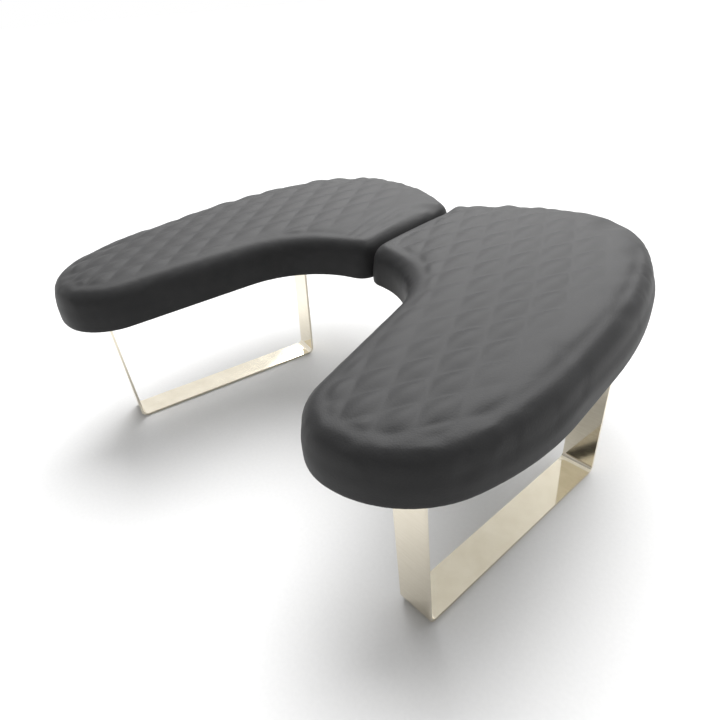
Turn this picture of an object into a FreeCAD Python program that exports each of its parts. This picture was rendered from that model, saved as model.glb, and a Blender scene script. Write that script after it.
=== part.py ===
import FreeCAD, Part
import math
import os

import Sketcher
from FreeCAD import Placement, Rotation, Vector

doc = FreeCAD.newDocument("quilted_arm_rest")

# Driving dimensions, millimetres and degrees. X is left to right, Y is front (the opening of the U)
# to back, Z is up. The origin is the middle of the footprint on the table.
SIZES = {
    "pad_bottom": 144.0,
    "pad_thickness": 42.5,
    "cover_thickness": 1.2,
    "cover_clearance": 0.3,
    "top_edge_radius": 13.5,
    "bottom_edge_radius": 2.5,
    "seam_gap": 1.0,
    "seam_corner_radius": 18.0,
    "lip_width": 32.0,
    "board_thickness": 12.0,
    "dust_cover_thickness": 1.0,
    "dust_cover_inset": 24.0,
    "strip_width": 30.0,
    "strip_thickness": 2.5,
    "strip_bend_radius": 8.0,
    "leg_length": 223.0,
    "leg_lean": 2.0,
    "flange_length": 42.0,
    "screw_diameter": 5.0,
    "screw_hole": 5.6,
    "screw_head_diameter": 9.5,
    "screw_head_height": 3.0,
    "screw_length": 14.0,
    "washer_diameter": 12.0,
    "washer_thickness": 1.0,
    "nut_flange_diameter": 18.0,
    "nut_flange_thickness": 1.2,
    "nut_barrel_diameter": 7.0,
    "nut_barrel_length": 8.5,
    "nut_recess_depth": 1.4,
    "nut_hole": 7.6,
    "staple_width": 9.0,
    "staple_wire": 0.8,
    "plate_length": 96.0,
    "plate_width": 24.0,
    "plate_thickness": 2.0,
    "plate_screw_diameter": 4.0,
    "plate_hole": 4.6,
    "plate_head_diameter": 8.0,
    "plate_head_height": 2.0,
    "plate_screw_length": 12.0,
}

sheet = doc.addObject("Spreadsheet::Sheet", "sizes")
for row, (name, value) in enumerate(SIZES.items(), start=1):
    sheet.set(f"A{row}", name)
    sheet.set(f"B{row}", str(value))
    sheet.setAlias(f"B{row}", name)
doc.recompute()


def size(name):
    return float(sheet.get(name))


# Right half of the horseshoe seen from above. The edge starts on the arch between the arms, runs down
# the inside of the arm, round its tip and up the outside to the back. Each step bends with its radius
# until the edge heads in the given direction (0 is to the right, 90 is to the back).
ARCH_CENTRE = (5.5, -79.01)
ARCH_RADIUS = 91.5
ARM_HEADING = -78.0
ARM_INSIDE_LENGTH = 123.0
ARM_OUTSIDE_LENGTH = 65.5
TIP_BENDS = [(49.5, 0.0), (80.0, 68.0), (243.0, 90.0)]
BACK_BENDS = [(477.0, 105.0), (211.0, 127.0), (92.0, 180.0)]
BACK_RADIUS = 191.0

# Front end of each leg bar, and how far the bar turns to the right on its way back.
LEG_FRONT = {"left": (-203.5, -169.5), "right": (199.5, -176.0)}
LEG_TURN = {"left": -16.0, "right": -7.0}
SCREW_FROM_BEND = (14.0, 32.0)

SEAM_PLATE_Y = {"front": 62.0, "rear": 150.0}
PLATE_SCREW_X = (14.0, 38.0)

SIDE_SIGN = {"left": -1.0, "right": 1.0}
NUT_TOP = size("pad_bottom") + size("board_thickness") - size("nut_recess_depth")
FLANGE_TOP = size("pad_bottom") - size("dust_cover_thickness")
FLANGE_BOTTOM = FLANGE_TOP - size("strip_thickness")


def heading(degrees):
    return Vector(math.cos(math.radians(degrees)), math.sin(math.radians(degrees)), 0)


def arc(centre, radius, first, last):
    """Arc from one angle to another, with its points in that order."""
    middle = centre + heading((first + last) / 2) * radius
    return Part.Arc(centre + heading(first) * radius, middle, centre + heading(last) * radius)


def angle_of(vector):
    return math.degrees(math.atan2(vector.y, vector.x))


def pad_edge(inset):
    """Lines and arcs of the right pad, moved inwards by inset, from the seam round to the seam."""
    seam_x = size("seam_gap") / 2 + inset
    corner_radius = max(size("seam_corner_radius") - inset, 4.0)
    corner_x = seam_x + corner_radius

    arch = Vector(*ARCH_CENTRE, 0)
    arch_radius = ARCH_RADIUS + inset
    reach = arch_radius + corner_radius
    front_corner = Vector(corner_x, arch.y + math.sqrt(reach ** 2 - (corner_x - arch.x) ** 2), 0)
    arch_start = angle_of(front_corner - arch)
    pieces = [
        arc(front_corner, corner_radius, -180.0, arch_start - 180.0),
        arc(arch, arch_radius, arch_start, ARM_HEADING + 90.0),
    ]

    point = arch + heading(ARM_HEADING + 90.0) * arch_radius
    direction = ARM_HEADING
    steps = [("line", ARM_INSIDE_LENGTH)] + TIP_BENDS + [("line", ARM_OUTSIDE_LENGTH)] + BACK_BENDS
    for radius, value in steps:
        if radius == "line":
            following = point + heading(direction) * value
            pieces.append(Part.LineSegment(point, following))
            point = following
            continue
        radius = radius - inset
        centre = point + heading(direction + 90.0) * radius
        pieces.append(arc(centre, radius, direction - 90.0, value - 90.0))
        point = centre + heading(value - 90.0) * radius
        direction = value

    back_radius = BACK_RADIUS - inset
    back = point + heading(direction + 90.0) * back_radius
    reach = back_radius - corner_radius
    back_corner = Vector(corner_x, back.y + math.sqrt(reach ** 2 - (corner_x - back.x) ** 2), 0)
    back_end = angle_of(back_corner - back)
    pieces.append(arc(back, back_radius, 90.0, back_end))
    pieces.append(arc(back_corner, corner_radius, back_end, 180.0))
    pieces.append(Part.LineSegment(Vector(seam_x, back_corner.y, 0),
                                   Vector(seam_x, front_corner.y, 0)))
    return pieces


def pad_outline(side, inset):
    pieces = pad_edge(inset)
    if side == "left":
        for piece in pieces:
            piece.mirror(Vector(0, 0, 0), Vector(0, 1, 0))
    return pieces


def edge_points(inset, count):
    """Points evenly spaced round the right pad, with the direction of the edge at each."""
    shapes = [piece.toShape() for piece in pad_edge(inset)]
    total = sum(shape.Length for shape in shapes)
    places = []
    for step in range(count):
        along = total * (step + 0.5) / count
        for shape in shapes:
            if along <= shape.Length:
                parameter = shape.getParameterByLength(along)
                places.append((shape.valueAt(parameter), shape.tangentAt(parameter)))
                break
            along -= shape.Length
    return places


def origin_plane(body, role):
    return next(item for item in body.Origin.OriginFeatures if item.Role == role)


def new_sketch(body, name, role="XY_Plane", offset=None):
    sketch = body.newObject("Sketcher::SketchObject", name)
    sketch.AttachmentSupport = (origin_plane(body, role), "")
    sketch.MapMode = "FlatFace"
    if offset:
        sketch.setExpression(".AttachmentOffset.Base.z", offset)
    return sketch


def new_body(name):
    return doc.addObject("PartDesign::Body", name)


def outline_sketch(body, name, side, inset, offset):
    sketch = new_sketch(body, name, offset=offset)
    first = len(sketch.Geometry)
    for piece in pad_outline(side, inset):
        sketch.addGeometry(piece, False)
    for index in range(first, len(sketch.Geometry)):
        sketch.addConstraint(Sketcher.Constraint("Block", index))
    return sketch


def pad_feature(body, name, sketch, length):
    pad = body.newObject("PartDesign::Pad", name)
    pad.Profile = sketch
    pad.setExpression("Length", length)
    return pad


def round_level(body, name, base, level, radius):
    """Round every edge of base that lies flat at the height level."""
    doc.recompute()
    names = []
    for number, edge in enumerate(base.Shape.Edges, start=1):
        box = edge.BoundBox
        if abs(box.ZMin - level) < 1e-4 and abs(box.ZMax - level) < 1e-4:
            names.append(f"Edge{number}")
    fillet = body.newObject("PartDesign::Fillet", name)
    fillet.Base = (base, names)
    fillet.setExpression("Radius", radius)
    return fillet


def slab(name, side, inset, bottom, height, top_radius=None, bottom_radius=None):
    """A pad-shaped block, with its top and bottom edges rounded where a radius is given."""
    body = new_body(name)
    sketch = outline_sketch(body, name + "_outline", side, inset, bottom)
    feature = pad_feature(body, name + "_pad", sketch, height)
    doc.recompute()
    low = feature.Shape.BoundBox.ZMin
    high = feature.Shape.BoundBox.ZMax
    if top_radius:
        feature = round_level(body, name + "_top_round", feature, high, top_radius)
    if bottom_radius:
        feature = round_level(body, name + "_bottom_round", feature, low, bottom_radius)
    body.Tip = feature
    doc.recompute()
    return body


def cut(name, base, tool):
    result = doc.addObject("Part::Cut", name)
    result.Base = base
    result.Tool = tool
    doc.recompute()
    return result


def join(name, shapes):
    result = doc.addObject("Part::MultiFuse", name)
    result.Shapes = shapes
    doc.recompute()
    return result


def cylinder(name, radius, height, bottom, x, y):
    shape = doc.addObject("Part::Cylinder", name)
    shape.setExpression("Radius", radius)
    shape.setExpression("Height", height)
    shape.setExpression(".Placement.Base.z", bottom)
    shape.Placement.Base.x = x
    shape.Placement.Base.y = y
    return shape


def leg_placement(side):
    x, y = LEG_FRONT[side]
    return Placement(Vector(x, y, 0), Rotation(Vector(0, 0, 1), LEG_TURN[side]))


def leg_screw_places(side):
    """World places of the four leg screws: two through each flange."""
    placement = leg_placement(side)
    lean_run = math.tan(math.radians(size("leg_lean"))) * FLANGE_TOP
    places = []
    for along in SCREW_FROM_BEND:
        for local in (along - lean_run, size("leg_length") - along + lean_run):
            places.append(placement.multVec(Vector(0, local, 0)))
    return places


def plate_screw_places(sides=("left", "right")):
    places = []
    for y in SEAM_PLATE_Y.values():
        for side in sides:
            for x in PLATE_SCREW_X:
                places.append(Vector(SIDE_SIGN[side] * x, y, 0))
    return places


def build_cover(side):
    prefix = side + "_cover"
    outer = slab(prefix + "_outer", side, 0.0, "sizes.pad_bottom", "sizes.pad_thickness",
                 "sizes.top_edge_radius", "sizes.bottom_edge_radius")
    wall = size("cover_thickness")
    cavity = slab(prefix + "_cavity", side, wall, "sizes.pad_bottom + sizes.cover_thickness",
                  "sizes.pad_thickness - 2 * sizes.cover_thickness",
                  "sizes.top_edge_radius - sizes.cover_thickness")
    opening = slab(prefix + "_opening", side, size("lip_width"), "sizes.pad_bottom - 1",
                   "sizes.cover_thickness + 2")
    hollow = join(prefix + "_hollow", [cavity, opening])
    cover = cut(side + "_cushion_cover", outer, hollow)
    return cover


def build_foam(side):
    inset = size("cover_thickness") + size("cover_clearance")
    body = slab(side + "_foam_pad", side, inset, "sizes.pad_bottom + sizes.board_thickness",
                "sizes.pad_thickness - sizes.board_thickness - sizes.cover_thickness"
                " - sizes.cover_clearance",
                "sizes.top_edge_radius - sizes.cover_thickness - sizes.cover_clearance")
    return body


def build_board(side):
    prefix = side + "_board"
    inset = size("cover_thickness") + size("cover_clearance")
    upper = slab(prefix + "_upper", side, inset, "sizes.pad_bottom + sizes.cover_thickness",
                 "sizes.board_thickness - sizes.cover_thickness")
    lower = slab(prefix + "_lower", side, size("lip_width") + size("cover_clearance"),
                 "sizes.pad_bottom", "sizes.cover_thickness + 1")
    blank = join(prefix + "_blank", [upper, lower])
    holes = []
    for number, place in enumerate(leg_screw_places(side), start=1):
        holes.append(cylinder(f"{prefix}_nut_hole_{number}", "sizes.nut_hole / 2",
                              "sizes.board_thickness + 2", "sizes.pad_bottom - 1",
                              place.x, place.y))
        holes.append(cylinder(f"{prefix}_nut_recess_{number}",
                              "sizes.nut_flange_diameter / 2 + 0.3",
                              "sizes.nut_recess_depth + 1",
                              "sizes.pad_bottom + sizes.board_thickness"
                              " - sizes.nut_recess_depth", place.x, place.y))
    for number, place in enumerate(plate_screw_places([side]), start=1):
        holes.append(cylinder(f"{prefix}_pilot_{number}", "sizes.plate_hole / 2",
                              "sizes.plate_screw_length", "sizes.pad_bottom - 1",
                              place.x, place.y))
    tools = join(prefix + "_holes", holes)
    return cut(side + "_base_board", blank, tools)


def build_dust_cover(side):
    prefix = side + "_dust"
    cloth = slab(prefix + "_cloth", side, size("dust_cover_inset"),
                 "sizes.pad_bottom - sizes.dust_cover_thickness", "sizes.dust_cover_thickness")
    holes = []
    for number, place in enumerate(leg_screw_places(side), start=1):
        holes.append(cylinder(f"{prefix}_hole_{number}", "sizes.screw_hole / 2",
                              "sizes.dust_cover_thickness + 2",
                              "sizes.pad_bottom - sizes.dust_cover_thickness - 1",
                              place.x, place.y))
    for number, place in enumerate(plate_screw_places([side]), start=1):
        holes.append(cylinder(f"{prefix}_plate_hole_{number}", "sizes.plate_hole / 2",
                              "sizes.dust_cover_thickness + 2",
                              "sizes.pad_bottom - sizes.dust_cover_thickness - 1",
                              place.x, place.y))
    tools = join(prefix + "_holes", holes)
    return cut(side + "_dust_cover", cloth, tools)


def build_leg(side):
    """One strip bent to a U, drawn from the side and padded to the strip width."""
    body = new_body(side + "_leg_strip_body")
    sketch = new_sketch(body, side + "_leg_profile", "YZ_Plane")
    thickness = size("strip_thickness")
    radius = size("strip_bend_radius")
    length = size("leg_length")
    lean = math.tan(math.radians(size("leg_lean")))
    reach = size("flange_length")
    spine = [
        Vector(reach - lean * FLANGE_TOP, FLANGE_TOP, 0),
        Vector(-lean * FLANGE_TOP, FLANGE_TOP, 0),
        Vector(0, 0, 0),
        Vector(length, 0, 0),
        Vector(length + lean * FLANGE_TOP, FLANGE_TOP, 0),
        Vector(length + lean * FLANGE_TOP - reach, FLANGE_TOP, 0),
    ]
    outer = rounded_path(spine, radius)
    inner = rounded_path(shifted_path(spine, thickness), radius - thickness)
    for piece in outer + inner:
        sketch.addGeometry(piece, False)
    for end in (0, -1):
        outside = outer[end].StartPoint if end == 0 else outer[end].EndPoint
        inside = inner[end].StartPoint if end == 0 else inner[end].EndPoint
        sketch.addGeometry(Part.LineSegment(outside, inside), False)
    for index in range(len(sketch.Geometry)):
        sketch.addConstraint(Sketcher.Constraint("Block", index))
    pad = pad_feature(body, side + "_leg_strip", sketch, "sizes.strip_width")
    pad.Midplane = True
    body.Tip = pad
    doc.recompute()
    holes = []
    run = lean * FLANGE_TOP
    for number, along in enumerate(SCREW_FROM_BEND, start=1):
        for end, local in (("front", along - run), ("rear", length - along + run)):
            holes.append(cylinder(f"{side}_leg_{end}_hole_{number}", "sizes.screw_hole / 2",
                                  "sizes.strip_thickness + 2",
                                  "sizes.pad_bottom - sizes.dust_cover_thickness"
                                  " - sizes.strip_thickness - 1", 0, local))
    tools = join(side + "_leg_holes", holes)
    leg = cut(side + "_leg", body, tools)
    leg.Placement = leg_placement(side)
    return leg


def shifted_path(points, distance):
    """The path moved to its left-hand side by distance, with mitred corners."""
    moved = []
    for index, point in enumerate(points):
        normals = []
        if index > 0:
            step = (point - points[index - 1]).normalize()
            normals.append(Vector(-step.y, step.x, 0))
        if index < len(points) - 1:
            step = (points[index + 1] - point).normalize()
            normals.append(Vector(-step.y, step.x, 0))
        if len(normals) == 1:
            moved.append(point + normals[0] * distance)
        else:
            bisector = normals[0] + normals[1]
            moved.append(point + bisector * (2 * distance / bisector.dot(bisector)))
    return moved


def rounded_path(points, radius):
    """Straight lines through the points, with an arc of the given radius at each bend."""
    pieces = []
    start = points[0]
    for before, point, after in zip(points, points[1:], points[2:]):
        towards = (point - before).normalize()
        away = (after - point).normalize()
        half_turn = towards.getAngle(away) / 2
        cut_back = radius * math.tan(half_turn)
        arc_start = point - towards * cut_back
        arc_end = point + away * cut_back
        centre_way = (away - towards).normalize()
        middle = point + centre_way * (radius / math.cos(half_turn) - radius)
        pieces.append(Part.LineSegment(start, arc_start))
        pieces.append(Part.Arc(arc_start, middle, arc_end))
        start = arc_end
    pieces.append(Part.LineSegment(start, points[-1]))
    return pieces


def turned_body(name, profile):
    """A solid of revolution about Z from (radius, height) corners."""
    body = new_body(name)
    sketch = new_sketch(body, name + "_profile", "XZ_Plane")
    corners = [Vector(radius, height, 0) for radius, height in profile]
    for index, point in enumerate(corners):
        following = corners[(index + 1) % len(corners)]
        sketch.addGeometry(Part.LineSegment(point, following), False)
    for index in range(len(corners)):
        sketch.addConstraint(Sketcher.Constraint("Block", index))
    turn = body.newObject("PartDesign::Revolution", name + "_turn")
    turn.Profile = sketch
    turn.ReferenceAxis = (sketch, ["V_Axis"])
    turn.Angle = 360.0
    body.Tip = turn
    doc.recompute()
    return body


def group(name, pattern, places, spin=None):
    """Copies of one small solid at each place, kept as separate solids in one node."""
    copies = []
    for number, place in enumerate(places):
        shape = pattern.Shape.copy()
        turn = Rotation(Vector(0, 0, 1), spin[number]) if spin else Rotation()
        shape.Placement = Placement(place, turn).multiply(shape.Placement)
        copies.append(shape)
    node = doc.addObject("Part::Feature", name)
    node.Shape = Part.makeCompound(copies)
    return node


def screw_profile(radius, head_radius, head_height, length, under_head):
    """Pan head with a round drive socket below the height under_head, and the shank above it."""
    crown = head_height * 0.45
    socket_radius = head_radius * 0.4
    socket_floor = under_head - head_height * 0.45
    return [
        (0.0, socket_floor),
        (socket_radius, socket_floor),
        (socket_radius, under_head - head_height),
        (head_radius * 0.62, under_head - head_height),
        (head_radius * 0.9, under_head - head_height + crown * 0.5),
        (head_radius, under_head - head_height + crown),
        (head_radius, under_head),
        (radius, under_head),
        (radius, under_head + length - 1.0),
        (radius - 1.0, under_head + length),
        (0.0, under_head + length),
    ]


def build_fasteners(side, screw, washer, nut):
    places = leg_screw_places(side)
    return [
        group(side + "_leg_screws", screw, places),
        group(side + "_leg_washers", washer, places),
        group(side + "_tee_nuts", nut, places),
    ]


def under_metal(side, place):
    """Whether a staple there would sit under a flange of the leg or under a seam plate."""
    margin = size("staple_width") / 2 + 1.0
    local = leg_placement(side).inverse().multVec(place)
    lean_run = math.tan(math.radians(size("leg_lean"))) * FLANGE_TOP
    reach = size("flange_length")
    for start in (-lean_run, size("leg_length") + lean_run - reach):
        within = start - margin < local.y < start + reach + margin
        if within and abs(local.x) < size("strip_width") / 2 + margin:
            return True
    for y in SEAM_PLATE_Y.values():
        within = abs(place.y - y) < size("plate_width") / 2 + margin
        if within and abs(place.x) < size("plate_length") / 2 + margin:
            return True
    return False


def build_staples(side, staple, count=28):
    """Staples round the edge of the dust cover, each along the edge."""
    sign = SIDE_SIGN[side]
    places = []
    spins = []
    for point, direction in edge_points(size("dust_cover_inset") + 5.0, count):
        place = Vector(sign * point.x, point.y, 0)
        if under_metal(side, place):
            continue
        places.append(place)
        spins.append(math.degrees(math.atan2(direction.y, sign * direction.x)))
    return group(side + "_dust_cover_staples", staple, places, spins)


def staple_pattern():
    """The crown that shows under the dust cover."""
    width = size("staple_width")
    wire = size("staple_wire")
    low = FLANGE_TOP - wire
    crown = doc.addObject("Part::Box", "staple_crown")
    crown.setExpression("Length", "sizes.staple_width")
    crown.setExpression("Width", "sizes.staple_wire")
    crown.setExpression("Height", "sizes.staple_wire")
    crown.Placement.Base = Vector(-width / 2, -wire / 2, low)
    return crown


def build_plates(screw):
    nodes = []
    for name, y in SEAM_PLATE_Y.items():
        blank = doc.addObject("Part::Box", name + "_plate_blank")
        blank.setExpression("Length", "sizes.plate_length")
        blank.setExpression("Width", "sizes.plate_width")
        blank.setExpression("Height", "sizes.plate_thickness")
        blank.Placement.Base = Vector(-size("plate_length") / 2, y - size("plate_width") / 2,
                                      FLANGE_TOP - size("plate_thickness"))
        holes = []
        for number, place in enumerate(plate_screw_places(), start=1):
            if abs(place.y - y) < 1e-6:
                holes.append(cylinder(f"{name}_plate_hole_{number}", "sizes.plate_hole / 2",
                                      "sizes.plate_thickness + 2",
                                      "sizes.pad_bottom - sizes.dust_cover_thickness"
                                      " - sizes.plate_thickness - 1", place.x, place.y))
        tools = join(name + "_plate_holes", holes)
        nodes.append(cut(name + "_seam_plate", blank, tools))
    nodes.append(group("seam_plate_screws", screw, plate_screw_places()))
    return nodes


def ring_profile(inner, outer, low, high):
    return [(inner, low), (outer, low), (outer, high), (inner, high)]


leg_screw = turned_body("leg_screw_pattern", screw_profile(
    size("screw_diameter") / 2, size("screw_head_diameter") / 2, size("screw_head_height"),
    size("screw_length"), FLANGE_BOTTOM - size("washer_thickness")))
leg_washer = turned_body("leg_washer_pattern", ring_profile(
    size("screw_hole") / 2, size("washer_diameter") / 2,
    FLANGE_BOTTOM - size("washer_thickness"), FLANGE_BOTTOM))
tee_nut = turned_body("tee_nut_pattern", [
    (size("screw_hole") / 2, NUT_TOP - size("nut_barrel_length")),
    (size("nut_barrel_diameter") / 2, NUT_TOP - size("nut_barrel_length")),
    (size("nut_barrel_diameter") / 2, NUT_TOP),
    (size("nut_flange_diameter") / 2, NUT_TOP),
    (size("nut_flange_diameter") / 2, NUT_TOP + size("nut_flange_thickness")),
    (size("screw_hole") / 2, NUT_TOP + size("nut_flange_thickness")),
])
plate_screw = turned_body("plate_screw_pattern", screw_profile(
    size("plate_screw_diameter") / 2, size("plate_head_diameter") / 2, size("plate_head_height"),
    size("plate_screw_length"), FLANGE_TOP - size("plate_thickness")))
staple = staple_pattern()

nodes = []
for side in ("left", "right"):
    nodes.append(build_cover(side))
    nodes.append(build_foam(side))
    nodes.append(build_board(side))
    nodes.append(build_dust_cover(side))
    nodes.append(build_staples(side, staple))
    nodes.append(build_leg(side))
    nodes += build_fasteners(side, leg_screw, leg_washer, tee_nut)
nodes += build_plates(plate_screw)

doc.recompute()
for item in doc.Objects:
    if "Invalid" in item.State or "Error" in item.State:
        raise RuntimeError(f"{item.Name} did not compute: {item.State}")
os.makedirs("parts", exist_ok=True)
for node in nodes:
    if node.Shape.isNull() or not node.Shape.isValid():
        raise RuntimeError(f"{node.Name} has no valid shape")
    node.Label = node.Name
    node.Shape.exportStep(f"parts/{node.Label}.step")
    print(node.Label, round(node.Shape.Volume / 1000.0, 2), "cm3", len(node.Shape.Solids), "solids")
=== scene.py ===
"""Quilted horseshoe arm rest: leather cushions, dust covers, finishes, camera and light."""

import math

import bmesh
import bpy
import numpy as np
from mathutils import Matrix, Vector, noise
from mathutils.geometry import delaunay_2d_cdt
from mathutils.kdtree import KDTree


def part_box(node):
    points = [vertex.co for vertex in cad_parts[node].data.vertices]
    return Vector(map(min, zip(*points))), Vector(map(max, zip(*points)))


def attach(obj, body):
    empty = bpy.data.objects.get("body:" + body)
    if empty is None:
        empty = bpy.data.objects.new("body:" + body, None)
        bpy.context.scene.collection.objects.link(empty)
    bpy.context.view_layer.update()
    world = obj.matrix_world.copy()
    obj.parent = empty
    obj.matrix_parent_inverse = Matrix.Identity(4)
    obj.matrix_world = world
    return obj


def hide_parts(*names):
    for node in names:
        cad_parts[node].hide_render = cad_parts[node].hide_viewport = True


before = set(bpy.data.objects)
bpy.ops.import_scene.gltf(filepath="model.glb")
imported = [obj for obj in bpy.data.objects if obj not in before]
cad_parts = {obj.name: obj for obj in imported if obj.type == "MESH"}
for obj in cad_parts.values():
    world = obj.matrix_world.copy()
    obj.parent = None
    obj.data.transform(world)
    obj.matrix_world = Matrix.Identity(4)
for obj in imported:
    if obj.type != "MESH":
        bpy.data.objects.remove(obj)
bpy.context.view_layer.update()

MM = 0.001
SIDES = {"left": -1.0, "right": 1.0}

# Leather cushions. Heights are above the underside of the pad.
LEATHER = 1.2 * MM
LIP_WIDTH = 32 * MM
FOAM_DEPTH = 1.7 * MM
BOARD_THICKNESS = 12 * MM
START_INSET = 1.0 * MM
CROWN_ROOM = 2.2 * MM
TOP_ROUND = 15.5 * MM
BOTTOM_ROUND = 2.0 * MM
CORNER_REACH = 12 * MM
CORNER_POWER = 10.0
VOXEL = 6.3 * MM
EDGE_STEP = 2 * MM
SEAM = 0.4 * MM
PRESSURE = 4.0
SIM_FRAMES = 20
MOST_SWELL = 4.0 * MM
PIN_HEIGHT = 9 * MM

# Dust cover under each pad
CLOTH_INSET = 24 * MM
CLOTH_DROP = 0.9 * MM
CLOTH_THICKNESS = 0.5 * MM
HEM_WIDTH = 11 * MM
HEM_STEP = 0.14 * MM
CLOTH_SLACK = 0.12 * MM
CLOTH_GRID = 5 * MM

# Quilting: long diamonds, one row half a diamond beside the next
COLUMN_START = 116.3 * MM
COLUMN_STEP = 28.7 * MM
COLUMN_FAN = 0.5 * MM
COLUMN_DRIFT = {"left": 2.9 * MM, "right": 1.1 * MM}
ROW_START = 25.2 * MM
ROW_STEP = 29.4 * MM
ROW_GROWTH = 1.07
PUFF_HEIGHT = {"left": 1.5 * MM, "right": 2.0 * MM}
PUFF_POWER = 1.0
PUFF_TILT = 0.4
CREASE_SHARE = 0.5
GROOVE_INSET = 19 * MM
GROOVE_WIDTH = 4 * MM
GROOVE_DEPTH = 0.5 * MM

# Folds drawn along the seam on the left pad
FOLD_STEP = 12 * MM
FOLD_DEPTH = 0.35 * MM


def smooth(value, low, high):
    """0 below low, 1 above high, and an even slope between them."""
    t = np.clip((value - low) / (high - low), 0.0, 1.0)
    return t * t * (3 - 2 * t)


def coordinates(mesh):
    flat = np.empty(len(mesh.vertices) * 3)
    mesh.vertices.foreach_get("co", flat)
    return flat.reshape(-1, 3)


def normals(mesh):
    flat = np.empty(len(mesh.vertices) * 3)
    mesh.vertices.foreach_get("normal", flat)
    return flat.reshape(-1, 3)


def place(mesh, points):
    mesh.vertices.foreach_set("co", points.ravel())
    mesh.update()


def new_object(name, mesh):
    piece = bpy.data.objects.new(name, mesh)
    bpy.context.scene.collection.objects.link(piece)
    return piece


def apply_modifiers(piece):
    """Replace the mesh with what its modifiers make of it."""
    graph = bpy.context.evaluated_depsgraph_get()
    made = bpy.data.meshes.new_from_object(piece.evaluated_get(graph))
    piece.modifiers.clear()
    piece.data = made


def shade_smooth(mesh):
    mesh.polygons.foreach_set("use_smooth", [True] * len(mesh.polygons))


# ---------------------------------------------------------------- outline of a pad


def section_loop(node, height):
    """The longest closed line where the node's surface crosses that height."""
    cut = bmesh.new()
    cut.from_mesh(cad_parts[node].data)
    bmesh.ops.remove_doubles(cut, verts=cut.verts, dist=1e-6)
    everything = cut.verts[:] + cut.edges[:] + cut.faces[:]
    found = bmesh.ops.bisect_plane(cut, geom=everything, plane_co=(0, 0, height),
                                   plane_no=(0, 0, 1))["geom_cut"]
    edges = {item for item in found if isinstance(item, bmesh.types.BMEdge)}
    loops = []
    while edges:
        edge = edges.pop()
        first, last = edge.verts
        loop = [first.co.copy(), last.co.copy()]
        while last is not first:
            edge = next(item for item in last.link_edges if item in edges)
            edges.remove(edge)
            last = edge.other_vert(last)
            loop.append(last.co.copy())
        loops.append(loop[:-1])
    cut.free()
    return max(loops, key=loop_length)


def loop_length(loop):
    return sum((a - b).length for a, b in zip(loop, loop[1:] + loop[:1]))


def even_loop(loop, step):
    """Points evenly spaced round a closed line, anticlockwise, as an array of x and y."""
    points = np.array([point[:2] for point in loop])
    following = np.roll(points, -1, axis=0)
    area = np.sum(points[:, 0] * following[:, 1] - following[:, 0] * points[:, 1])
    if area < 0:
        points = points[::-1]
    closed = np.vstack([points, points[:1]])
    along = np.concatenate([[0], np.cumsum(np.linalg.norm(np.diff(closed, axis=0), axis=1))])
    places = np.linspace(0, along[-1], int(along[-1] / step), endpoint=False)
    return np.column_stack([np.interp(places, along, closed[:, axis]) for axis in (0, 1)])


def inward(loop):
    """Unit normals that point into an anticlockwise loop, smoothed a little."""
    tangent = np.roll(loop, -2, axis=0) - np.roll(loop, 2, axis=0)
    normal = np.column_stack([-tangent[:, 1], tangent[:, 0]])
    return normal / np.linalg.norm(normal, axis=1)[:, None]


def from_edge(points, loop):
    """How far inside the loop each point is, seen from above, and the way further in."""
    tree = KDTree(len(loop))
    for index, (x, y) in enumerate(loop):
        tree.insert((x, y, 0), index)
    tree.balance()
    nearest = np.array([tree.find((x, y, 0))[1] for x, y in points[:, :2]])
    way = inward(loop)[nearest]
    inside = np.sum((points[:, :2] - loop[nearest]) * way, axis=1)
    return inside, way


# ---------------------------------------------------------------- cushion


def pad_solid(name, loop, low, high):
    """A closed pad: the loop from low to high, with rounded top and bottom edges."""
    quarter = np.linspace(0, math.pi / 2, 7)
    sections = [(BOTTOM_ROUND * (1 - math.sin(a)), low + BOTTOM_ROUND * (1 - math.cos(a)))
                for a in quarter]
    sections.append((0, low + BOARD_THICKNESS))
    sections += [(START_INSET + TOP_ROUND * (1 - math.cos(a)), high - TOP_ROUND * (1 - math.sin(a)))
                 for a in quarter]
    normal = inward(loop)
    count = len(loop)
    points = []
    for inset, height in sections:
        ring = loop + normal * inset
        points += [(x, y, height) for x, y in ring]
    faces = []
    for level in range(len(sections) - 1):
        for index in range(count):
            following = (index + 1) % count
            faces.append((level * count + index, level * count + following,
                          (level + 1) * count + following, (level + 1) * count + index))
    faces.append(tuple(reversed(range(count))))
    faces.append(tuple(range((len(sections) - 1) * count, len(sections) * count)))
    mesh = bpy.data.meshes.new(name)
    mesh.from_pydata(points, [], faces)
    return new_object(name, mesh)


def even_mesh(piece):
    remesh = piece.modifiers.new("remesh", "REMESH")
    remesh.mode = "VOXEL"
    remesh.voxel_size = VOXEL
    apply_modifiers(piece)
    relax = piece.modifiers.new("relax", "SMOOTH")
    relax.factor = 0.5
    relax.iterations = 2
    apply_modifiers(piece)


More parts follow.
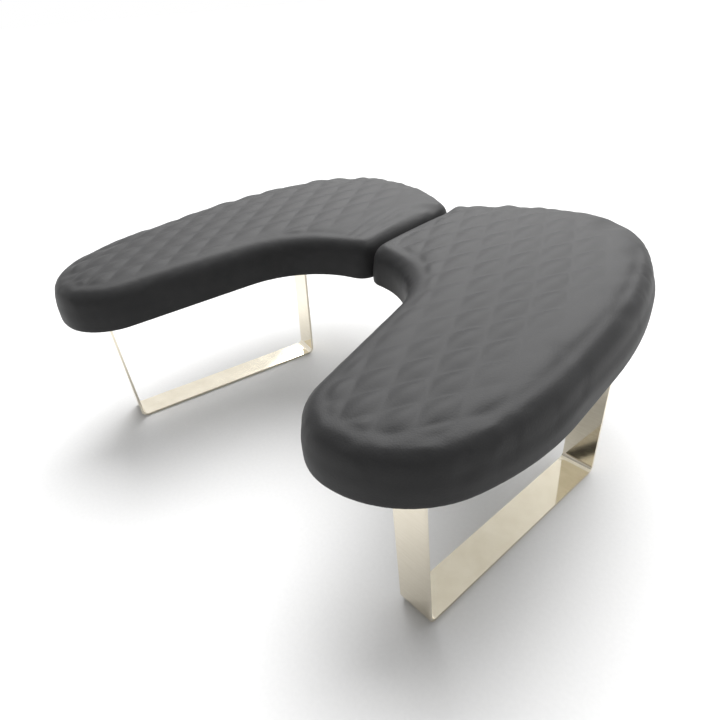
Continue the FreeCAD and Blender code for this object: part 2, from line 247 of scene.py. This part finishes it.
def swell(piece, low):
    """Blow the cover up against its own stretch, held at the bottom where it is stapled."""
    rest = coordinates(piece.data)
    held = piece.vertex_groups.new(name="held")
    held.add([int(i) for i in np.flatnonzero(rest[:, 2] < low + PIN_HEIGHT)], 1.0, "REPLACE")
    cloth = piece.modifiers.new("cloth", "CLOTH")
    cloth.settings.quality = 5
    cloth.settings.mass = 0.3
    cloth.settings.tension_stiffness = 40
    cloth.settings.compression_stiffness = 40
    cloth.settings.bending_stiffness = 2
    cloth.settings.vertex_group_mass = "held"
    cloth.settings.use_pressure = True
    cloth.settings.uniform_pressure_force = PRESSURE
    cloth.settings.effector_weights.gravity = 0
    cloth.point_cache.frame_start = 1
    cloth.point_cache.frame_end = SIM_FRAMES
    scene = bpy.context.scene
    for number in range(1, SIM_FRAMES + 1):
        scene.frame_set(number)
    graph = bpy.context.evaluated_depsgraph_get()
    moved = coordinates(piece.evaluated_get(graph).data) - rest
    scene.frame_set(1)
    piece.modifiers.clear()
    distance = np.linalg.norm(moved, axis=1)
    share = MOST_SWELL / (MOST_SWELL + distance)
    place(piece.data, rest + moved * share[:, None])


def finer(piece, levels):
    divide = piece.modifiers.new("finer", "SUBSURF")
    divide.levels = levels
    divide.render_levels = levels
    apply_modifiers(piece)


def quilt(points, side):
    """0 in the creases between diamonds and about 1 on the crown, which sits a little to the back."""
    row = np.log(1 + ROW_GROWTH * (points[:, 1] - ROW_START)) / (ROW_GROWTH * ROW_STEP)
    start = COLUMN_START + COLUMN_DRIFT[side] * row
    across = (np.abs(points[:, 0]) - start) / (COLUMN_STEP + COLUMN_FAN * row)
    falling = across + (row + 1) / 2
    rising = across - (row + 1) / 2
    pillow = np.abs(np.cos(math.pi * falling) * np.cos(math.pi * rising)) ** PUFF_POWER
    above_crown = (falling - np.rint(falling)) - (rising - np.rint(rising))
    return pillow * (1 + PUFF_TILT * above_crown)


def full_to_edge(points, side):
    """1 where the puffs run right out to the edge, 0 where a smooth border is rolled."""
    x, y = points[:, 0], points[:, 1]
    back = smooth(y, 90 * MM, 150 * MM)
    if side == "right":
        return back
    return np.maximum(back, smooth(-x, 150 * MM, 200 * MM) * smooth(y, -140 * MM, -80 * MM))


def quilt_share(points, distance, side):
    """How strongly the quilting stands out: it fades where the leather is drawn tight."""
    x, y = points[:, 0], points[:, 1]
    start = 16 * MM - 11 * MM * full_to_edge(points, side)
    field = smooth(distance - start, 0, 9 * MM)
    if side == "right":
        calm = 1 - smooth(distance, 30 * MM, 64 * MM)
        calm *= smooth(x, 70 * MM, 170 * MM) * smooth(y, -170 * MM, -90 * MM)
    else:
        calm = 1 - smooth(-x, 30 * MM, 100 * MM)
        calm *= smooth(y, -30 * MM, 20 * MM)
    return field * (1 - 0.9 * calm)


def folds(points):
    """Long shallow folds that run from the arch along the seam."""
    x, y = -points[:, 0], points[:, 1]
    reach = smooth(x, 8 * MM, 18 * MM) * (1 - smooth(x, 34 * MM, 52 * MM))
    reach *= smooth(y, 18 * MM, 40 * MM) * (1 - smooth(y, 80 * MM, 150 * MM))
    lean = 0.12 * y
    return FOLD_DEPTH * reach * np.sin(2 * math.pi * (x - lean) / FOLD_STEP)


def press_quilting(piece, loop, side):
    points = coordinates(piece.data)
    normal = normals(piece.data)
    inside, _ = from_edge(points, loop)
    facing_up = smooth(normal[:, 2], 0.35, 0.85)
    share = quilt_share(points, inside, side) * facing_up
    height = (quilt(points, side) - CREASE_SHARE) * PUFF_HEIGHT[side] * share
    groove = np.exp(-((inside - GROOVE_INSET) / GROOVE_WIDTH) ** 2) * facing_up
    height -= GROOVE_DEPTH * groove * (1 - full_to_edge(points, side))
    if side == "left":
        height += folds(points) * facing_up
    place(piece.data, points + normal * height[:, None])


def fit_to_board(piece, loop, side, low, depth):
    """Draw the lower wall and the lip tight round the edge of the board, that depth inside."""
    points = coordinates(piece.data)
    inside, way = from_edge(points, loop)
    rise = points[:, 2] - low
    across = np.maximum(CORNER_REACH - inside, 0)
    down = np.maximum(CORNER_REACH - rise, 0)
    length = (across ** CORNER_POWER + down ** CORNER_POWER) ** (1 / CORNER_POWER)
    near_edge = length > 0
    share = np.where(near_edge, (CORNER_REACH - depth) / np.where(near_edge, length, 1), 1)
    tight = 1 - smooth(rise, 10 * MM, 22 * MM)
    points[:, :2] += way * (across * (1 - share) * tight)[:, None]
    points[:, 2] += down * (1 - share) * tight
    sign = SIDES[side]
    points[:, 0] = np.maximum(points[:, 0] * sign, SEAM + depth) * sign
    place(piece.data, points)


def open_bottom(piece, loop, low, lip):
    """Take out the underside inside the turned-in lip, and even out the lip's edge."""
    points = coordinates(piece.data)
    inside, way = from_edge(points, loop)
    inner = (inside > lip) & (points[:, 2] < low + 4 * MM)
    shell = bmesh.new()
    shell.from_mesh(piece.data)
    shell.verts.ensure_lookup_table()
    bmesh.ops.delete(shell, geom=[shell.verts[int(i)] for i in np.flatnonzero(inner)], context="VERTS")
    shell.to_mesh(piece.data)
    shell.free()
    points = coordinates(piece.data)
    inside, way = from_edge(points, loop)
    rim = np.zeros(len(points), bool)
    uses = np.zeros(len(piece.data.edges), int)
    for polygon in piece.data.polygons:
        for key in polygon.loop_indices:
            uses[piece.data.loops[key].edge_index] += 1
    for edge in piece.data.edges:
        if uses[edge.index] == 1:
            rim[list(edge.vertices)] = True
    points[rim, :2] += way[rim] * (lip - inside[rim])[:, None]
    place(piece.data, points)


def join_skins(outer, inner):
    """One closed wall from an outer skin and the inner one, joined round their open edges."""
    wall = bmesh.new()
    wall.from_mesh(outer.data)
    known = len(wall.faces)
    wall.from_mesh(inner.data)
    wall.faces.ensure_lookup_table()
    bmesh.ops.reverse_faces(wall, faces=wall.faces[known:])
    rim = [edge for edge in wall.edges if edge.is_boundary]
    bmesh.ops.bridge_loops(wall, edges=rim)
    wall.to_mesh(outer.data)
    wall.free()
    bpy.data.objects.remove(inner)


def shrink(piece, depth):
    place(piece.data, coordinates(piece.data) - normals(piece.data) * depth)


def cut_flat(piece, height):
    """Leave what is above the height, closed with a flat face."""
    block = bmesh.new()
    block.from_mesh(piece.data)
    everything = block.verts[:] + block.edges[:] + block.faces[:]
    cut = bmesh.ops.bisect_plane(block, geom=everything, plane_co=(0, 0, height),
                                 plane_no=(0, 0, 1), clear_inner=True)["geom_cut"]
    rim = [item for item in cut if isinstance(item, bmesh.types.BMEdge)]
    bmesh.ops.contextual_create(block, geom=rim)
    block.to_mesh(piece.data)
    block.free()


def mirrored(mesh, sign):
    copy = mesh.copy()
    if sign < 0:
        copy.transform(Matrix.Scale(-1, 4, (1, 0, 0)))
        copy.flip_normals()
    return copy


def dress(piece, finish, slot, *nodes):
    """Give a new piece its finish and its place in the assembly."""
    shade_smooth(piece.data)
    piece.data.materials.clear()
    piece.data.materials.append(finish)
    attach(piece, "root")
    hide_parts(*nodes)
    return piece


def pad_skin(name, base, loop, side, low, levels, depth):
    """The quilted surface of one pad, that depth inside the outer one."""
    skin = new_object(name, mirrored(base.data, SIDES[side]))
    finer(skin, levels)
    press_quilting(skin, loop, side)
    shrink(skin, depth)
    fit_to_board(skin, loop, side, low, depth)
    return skin


def build_cushions():
    low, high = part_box("right_cushion_cover")
    middle = (low.z + high.z) / 2
    right_loop = even_loop(section_loop("right_cushion_cover", middle), EDGE_STEP)
    base = pad_solid("cushion_base", right_loop, low.z, high.z - CROWN_ROOM)
    even_mesh(base)
    swell(base, low.z)
    for side, sign in SIDES.items():
        loop = even_loop(right_loop * (sign, 1), EDGE_STEP)
        cushion = pad_skin(side + "_leather_cushion", base, loop, side, low.z, 2, 0)
        open_bottom(cushion, loop, low.z, LIP_WIDTH)
        lining = pad_skin(side + "_lining", base, loop, side, low.z, 1, LEATHER)
        open_bottom(lining, loop, low.z, LIP_WIDTH)
        join_skins(cushion, lining)
        dress(cushion, leather, "cover_leather", side + "_cushion_cover")

        core = pad_skin(side + "_foam_core", base, loop, side, low.z, 1, FOAM_DEPTH)
        cut_flat(core, low.z + BOARD_THICKNESS)
        dress(core, foam, "foam", side + "_foam_pad")
        build_dust_cover(side, loop, low.z - CLOTH_DROP)
    bpy.data.objects.remove(base)


# ---------------------------------------------------------------- dust cover


def build_dust_cover(side, loop, height):
    """A thin cloth stapled flat under the pad, its edge folded into a hem."""
    edge = even_loop(loop + inward(loop) * CLOTH_INSET, 3 * MM)
    low, high = edge.min(0), edge.max(0)
    grid = np.array([(x, y) for x in np.arange(low[0], high[0], CLOTH_GRID)
                     for y in np.arange(low[1], high[1], CLOTH_GRID)])
    inside, _ = from_edge(grid, edge)
    flat = [Vector(point) for point in np.vstack([edge, grid[inside > CLOTH_GRID / 2]])]
    count = len(edge)
    rim = [(index, (index + 1) % count) for index in range(count)]
    points, _, faces, *_ = delaunay_2d_cdt(flat, rim, [list(range(count))], 1, 1e-6)
    mesh = bpy.data.meshes.new(side + "_dust_cloth")
    mesh.from_pydata([(x, y, height) for x, y in points], [], faces)
    cloth = new_object(side + "_dust_cloth", mesh)
    places = coordinates(mesh)
    inside, _ = from_edge(places, edge)
    slack = np.array([noise.noise(Vector(point) * 28) for point in places])
    places[:, 2] += CLOTH_SLACK * slack
    places[:, 2] += HEM_STEP * smooth(inside, HEM_WIDTH - 1 * MM, HEM_WIDTH)
    place(mesh, places)
    wall = cloth.modifiers.new("wall", "SOLIDIFY")
    wall.thickness = CLOTH_THICKNESS
    wall.offset = 1
    apply_modifiers(cloth)
    dress(cloth, dust_cloth, "dust_cloth", side + "_dust_cover")


# ---------------------------------------------------------------- materials


def add_node(made, kind, **settings):
    node = made.node_tree.nodes.new(kind)
    for name, value in settings.items():
        if name in node.inputs:
            node.inputs[name].default_value = value
        else:
            setattr(node, name, value)
    return node


def finish(name, colours, gloss, metallic=0.0, stretch=(1, 1, 1), scale=100, detail=4,
           distortion=0.0, relief=0.1 * MM, strength=0.3, kind="ShaderNodeTexNoise"):
    """A material whose colour, roughness and relief all follow one pattern."""
    made = bpy.data.materials.new(name)
    made.use_nodes = True
    shader = made.node_tree.nodes["Principled BSDF"]
    shader.inputs["Metallic"].default_value = metallic
    link = made.node_tree.links.new
    where = add_node(made, "ShaderNodeTexCoord")
    spread = add_node(made, "ShaderNodeMapping", Scale=stretch)
    link(where.outputs["Object"], spread.inputs["Vector"])
    pattern = add_node(made, kind, Scale=scale, Detail=detail)
    if "Distortion" in pattern.inputs:
        pattern.inputs["Distortion"].default_value = distortion
    link(spread.outputs["Vector"], pattern.inputs["Vector"])
    value = pattern.outputs["Fac"] if "Fac" in pattern.outputs else pattern.outputs["Distance"]
    tones = add_node(made, "ShaderNodeValToRGB")
    for stop, position, colour in zip(tones.color_ramp.elements, (0.3, 0.7), colours):
        stop.position = position
        stop.color = (*colour, 1.0)
    link(value, tones.inputs["Fac"])
    link(tones.outputs["Color"], shader.inputs["Base Color"])
    shine = add_node(made, "ShaderNodeMapRange")
    shine.inputs["To Min"].default_value, shine.inputs["To Max"].default_value = gloss
    link(value, shine.inputs["Value"])
    link(shine.outputs["Result"], shader.inputs["Roughness"])
    bump = add_node(made, "ShaderNodeBump", Strength=strength, Distance=relief)
    link(value, bump.inputs["Height"])
    link(bump.outputs["Normal"], shader.inputs["Normal"])
    return made


def leather_finish():
    """Black coated leather: soft blotches, a pebbled grain and fine folds between the pebbles."""
    made = finish("black_leather", [(0.023, 0.023, 0.0235), (0.029, 0.029, 0.0295)],
                  (0.46, 0.54), scale=35, detail=5)
    shader = made.node_tree.nodes["Principled BSDF"]
    shader.inputs["Specular IOR Level"].default_value = 0.14
    link = made.node_tree.links.new
    where = made.node_tree.nodes["Texture Coordinate"]
    pebbles = add_node(made, "ShaderNodeTexVoronoi", feature="SMOOTH_F1", Scale=850,
                       Smoothness=0.4)
    lines = add_node(made, "ShaderNodeTexNoise", Scale=260, Detail=4)
    link(where.outputs["Object"], pebbles.inputs["Vector"])
    link(where.outputs["Object"], lines.inputs["Vector"])
    both = add_node(made, "ShaderNodeMath", operation="MULTIPLY_ADD")
    both.inputs[1].default_value = 0.6
    link(lines.outputs["Fac"], both.inputs[0])
    link(pebbles.outputs["Distance"], both.inputs[2])
    bump = made.node_tree.nodes["Bump"]
    bump.inputs["Strength"].default_value = 0.22
    bump.inputs["Distance"].default_value = 0.35 * MM
    link(both.outputs["Value"], bump.inputs["Height"])
    return made


leather = leather_finish()
chrome = finish("polished_steel", [(0.80, 0.735, 0.60), (0.86, 0.80, 0.67)], (0.035, 0.10), 1.0,
                stretch=(1, 1, 14), scale=60, relief=0.02 * MM, strength=0.05)
zinc = finish("zinc_steel", [(0.55, 0.56, 0.57), (0.68, 0.69, 0.70)], (0.28, 0.45), 1.0,
              scale=220, detail=3, relief=0.05 * MM, strength=0.2)
plywood = finish("plywood", [(0.42, 0.27, 0.14), (0.62, 0.45, 0.27)], (0.6, 0.8),
                 stretch=(1, 0.08, 8), scale=160, detail=6, distortion=0.6)
dust_cloth = finish("dust_cloth", [(0.74, 0.74, 0.72), (0.86, 0.86, 0.84)], (0.8, 0.95),
                    scale=420, relief=0.25 * MM, strength=0.5, kind="ShaderNodeTexVoronoi")
foam = finish("foam", [(0.70, 0.63, 0.40), (0.86, 0.80, 0.58)], (0.85, 0.95),
              scale=700, relief=0.4 * MM, strength=0.6, kind="ShaderNodeTexVoronoi")


def finish_for(node):
    for ending, surface in (("_leg", chrome), ("_board", plywood), ("_foam_pad", foam),
                            ("_dust_cover", dust_cloth), ("_cushion_cover", leather)):
        if node.endswith(ending):
            return surface
    return zinc


for node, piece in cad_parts.items():
    piece.data.materials.clear()
    piece.data.materials.append(finish_for(node))

build_cushions()


# ---------------------------------------------------------------- studio

# Camera: turn, rise and roll in degrees, distance and target in metres, lens in millimetres
TURN, RISE, ROLL = 43.880, 32.655, -4.618
DISTANCE = 593.56 * MM
TARGET = (11.69 * MM, -18.07 * MM, 70.76 * MM)
LENS, SENSOR = 28.52, 36.0

FLOOR_HALF = 40.0
SKY_DARK, SKY_BRIGHT = 0.35, 1.0
SKY_WAY = (-0.69, 0.72, 0.0)
SUN_STRENGTH = 5.6
SUN_WIDTH = 62.0
SUN_WAY = (-0.25, 0.58, 0.90)


def build_camera():
    """Above and in front of the right arm, tilted a little."""
    turn, rise, roll = math.radians(TURN), math.radians(RISE), math.radians(ROLL)
    back = Vector((math.sin(turn) * math.cos(rise), -math.cos(turn) * math.cos(rise),
                   math.sin(rise)))
    level = (-back).cross(Vector((0, 0, 1))).normalized()
    up = level.cross(-back)
    right = level * math.cos(roll) + up * math.sin(roll)
    top = up * math.cos(roll) - level * math.sin(roll)
    lens = bpy.data.cameras.new("camera")
    lens.sensor_width = SENSOR
    lens.lens = LENS
    lens.clip_start = 0.01
    camera = bpy.data.objects.new("camera", lens)
    turned = Matrix((right, top, back)).transposed().to_4x4()
    camera.matrix_world = Matrix.Translation(Vector(TARGET) + back * DISTANCE) @ turned
    bpy.context.scene.collection.objects.link(camera)
    bpy.context.scene.camera = camera


def build_studio():
    """White paper under a wide soft light from the back left."""
    mesh = bpy.data.meshes.new("floor")
    corners = [(-1, -1), (1, -1), (1, 1), (-1, 1)]
    mesh.from_pydata([(x * FLOOR_HALF, y * FLOOR_HALF, 0) for x, y in corners], [], [(0, 1, 2, 3)])
    floor = new_object("floor", mesh)
    floor.data.materials.append(finish("white_paper", [(0.63, 0.63, 0.63), (0.65, 0.65, 0.65)],
                                       (0.85, 0.95), scale=300, relief=0.02 * MM))
    world = bpy.data.worlds.new("studio")
    world.use_nodes = True
    sky = world.node_tree.nodes["Background"]
    sky.inputs["Color"].default_value = (1, 1, 1, 1)
    where = add_node(world, "ShaderNodeTexCoord")
    turned = add_node(world, "ShaderNodeVectorMath", operation="DOT_PRODUCT")
    turned.inputs[1].default_value = SKY_WAY
    world.node_tree.links.new(where.outputs["Generated"], turned.inputs[0])
    fade = add_node(world, "ShaderNodeMapRange")
    fade.inputs["From Min"].default_value = -0.4
    fade.inputs["From Max"].default_value = 0.7
    fade.inputs["To Min"].default_value = SKY_DARK
    fade.inputs["To Max"].default_value = SKY_BRIGHT
    world.node_tree.links.new(turned.outputs["Value"], fade.inputs["Value"])
    world.node_tree.links.new(fade.outputs["Result"], sky.inputs["Strength"])
    bpy.context.scene.world = world
    sun = bpy.data.lights.new("soft_sun", "SUN")
    sun.energy = SUN_STRENGTH
    sun.angle = math.radians(SUN_WIDTH)
    lamp = bpy.data.objects.new("soft_sun", sun)
    lamp.rotation_euler = Vector(SUN_WAY).to_track_quat("Z", "Y").to_euler()
    bpy.context.scene.collection.objects.link(lamp)


build_camera()
build_studio()
bpy.context.scene.view_settings.view_transform = "Standard"
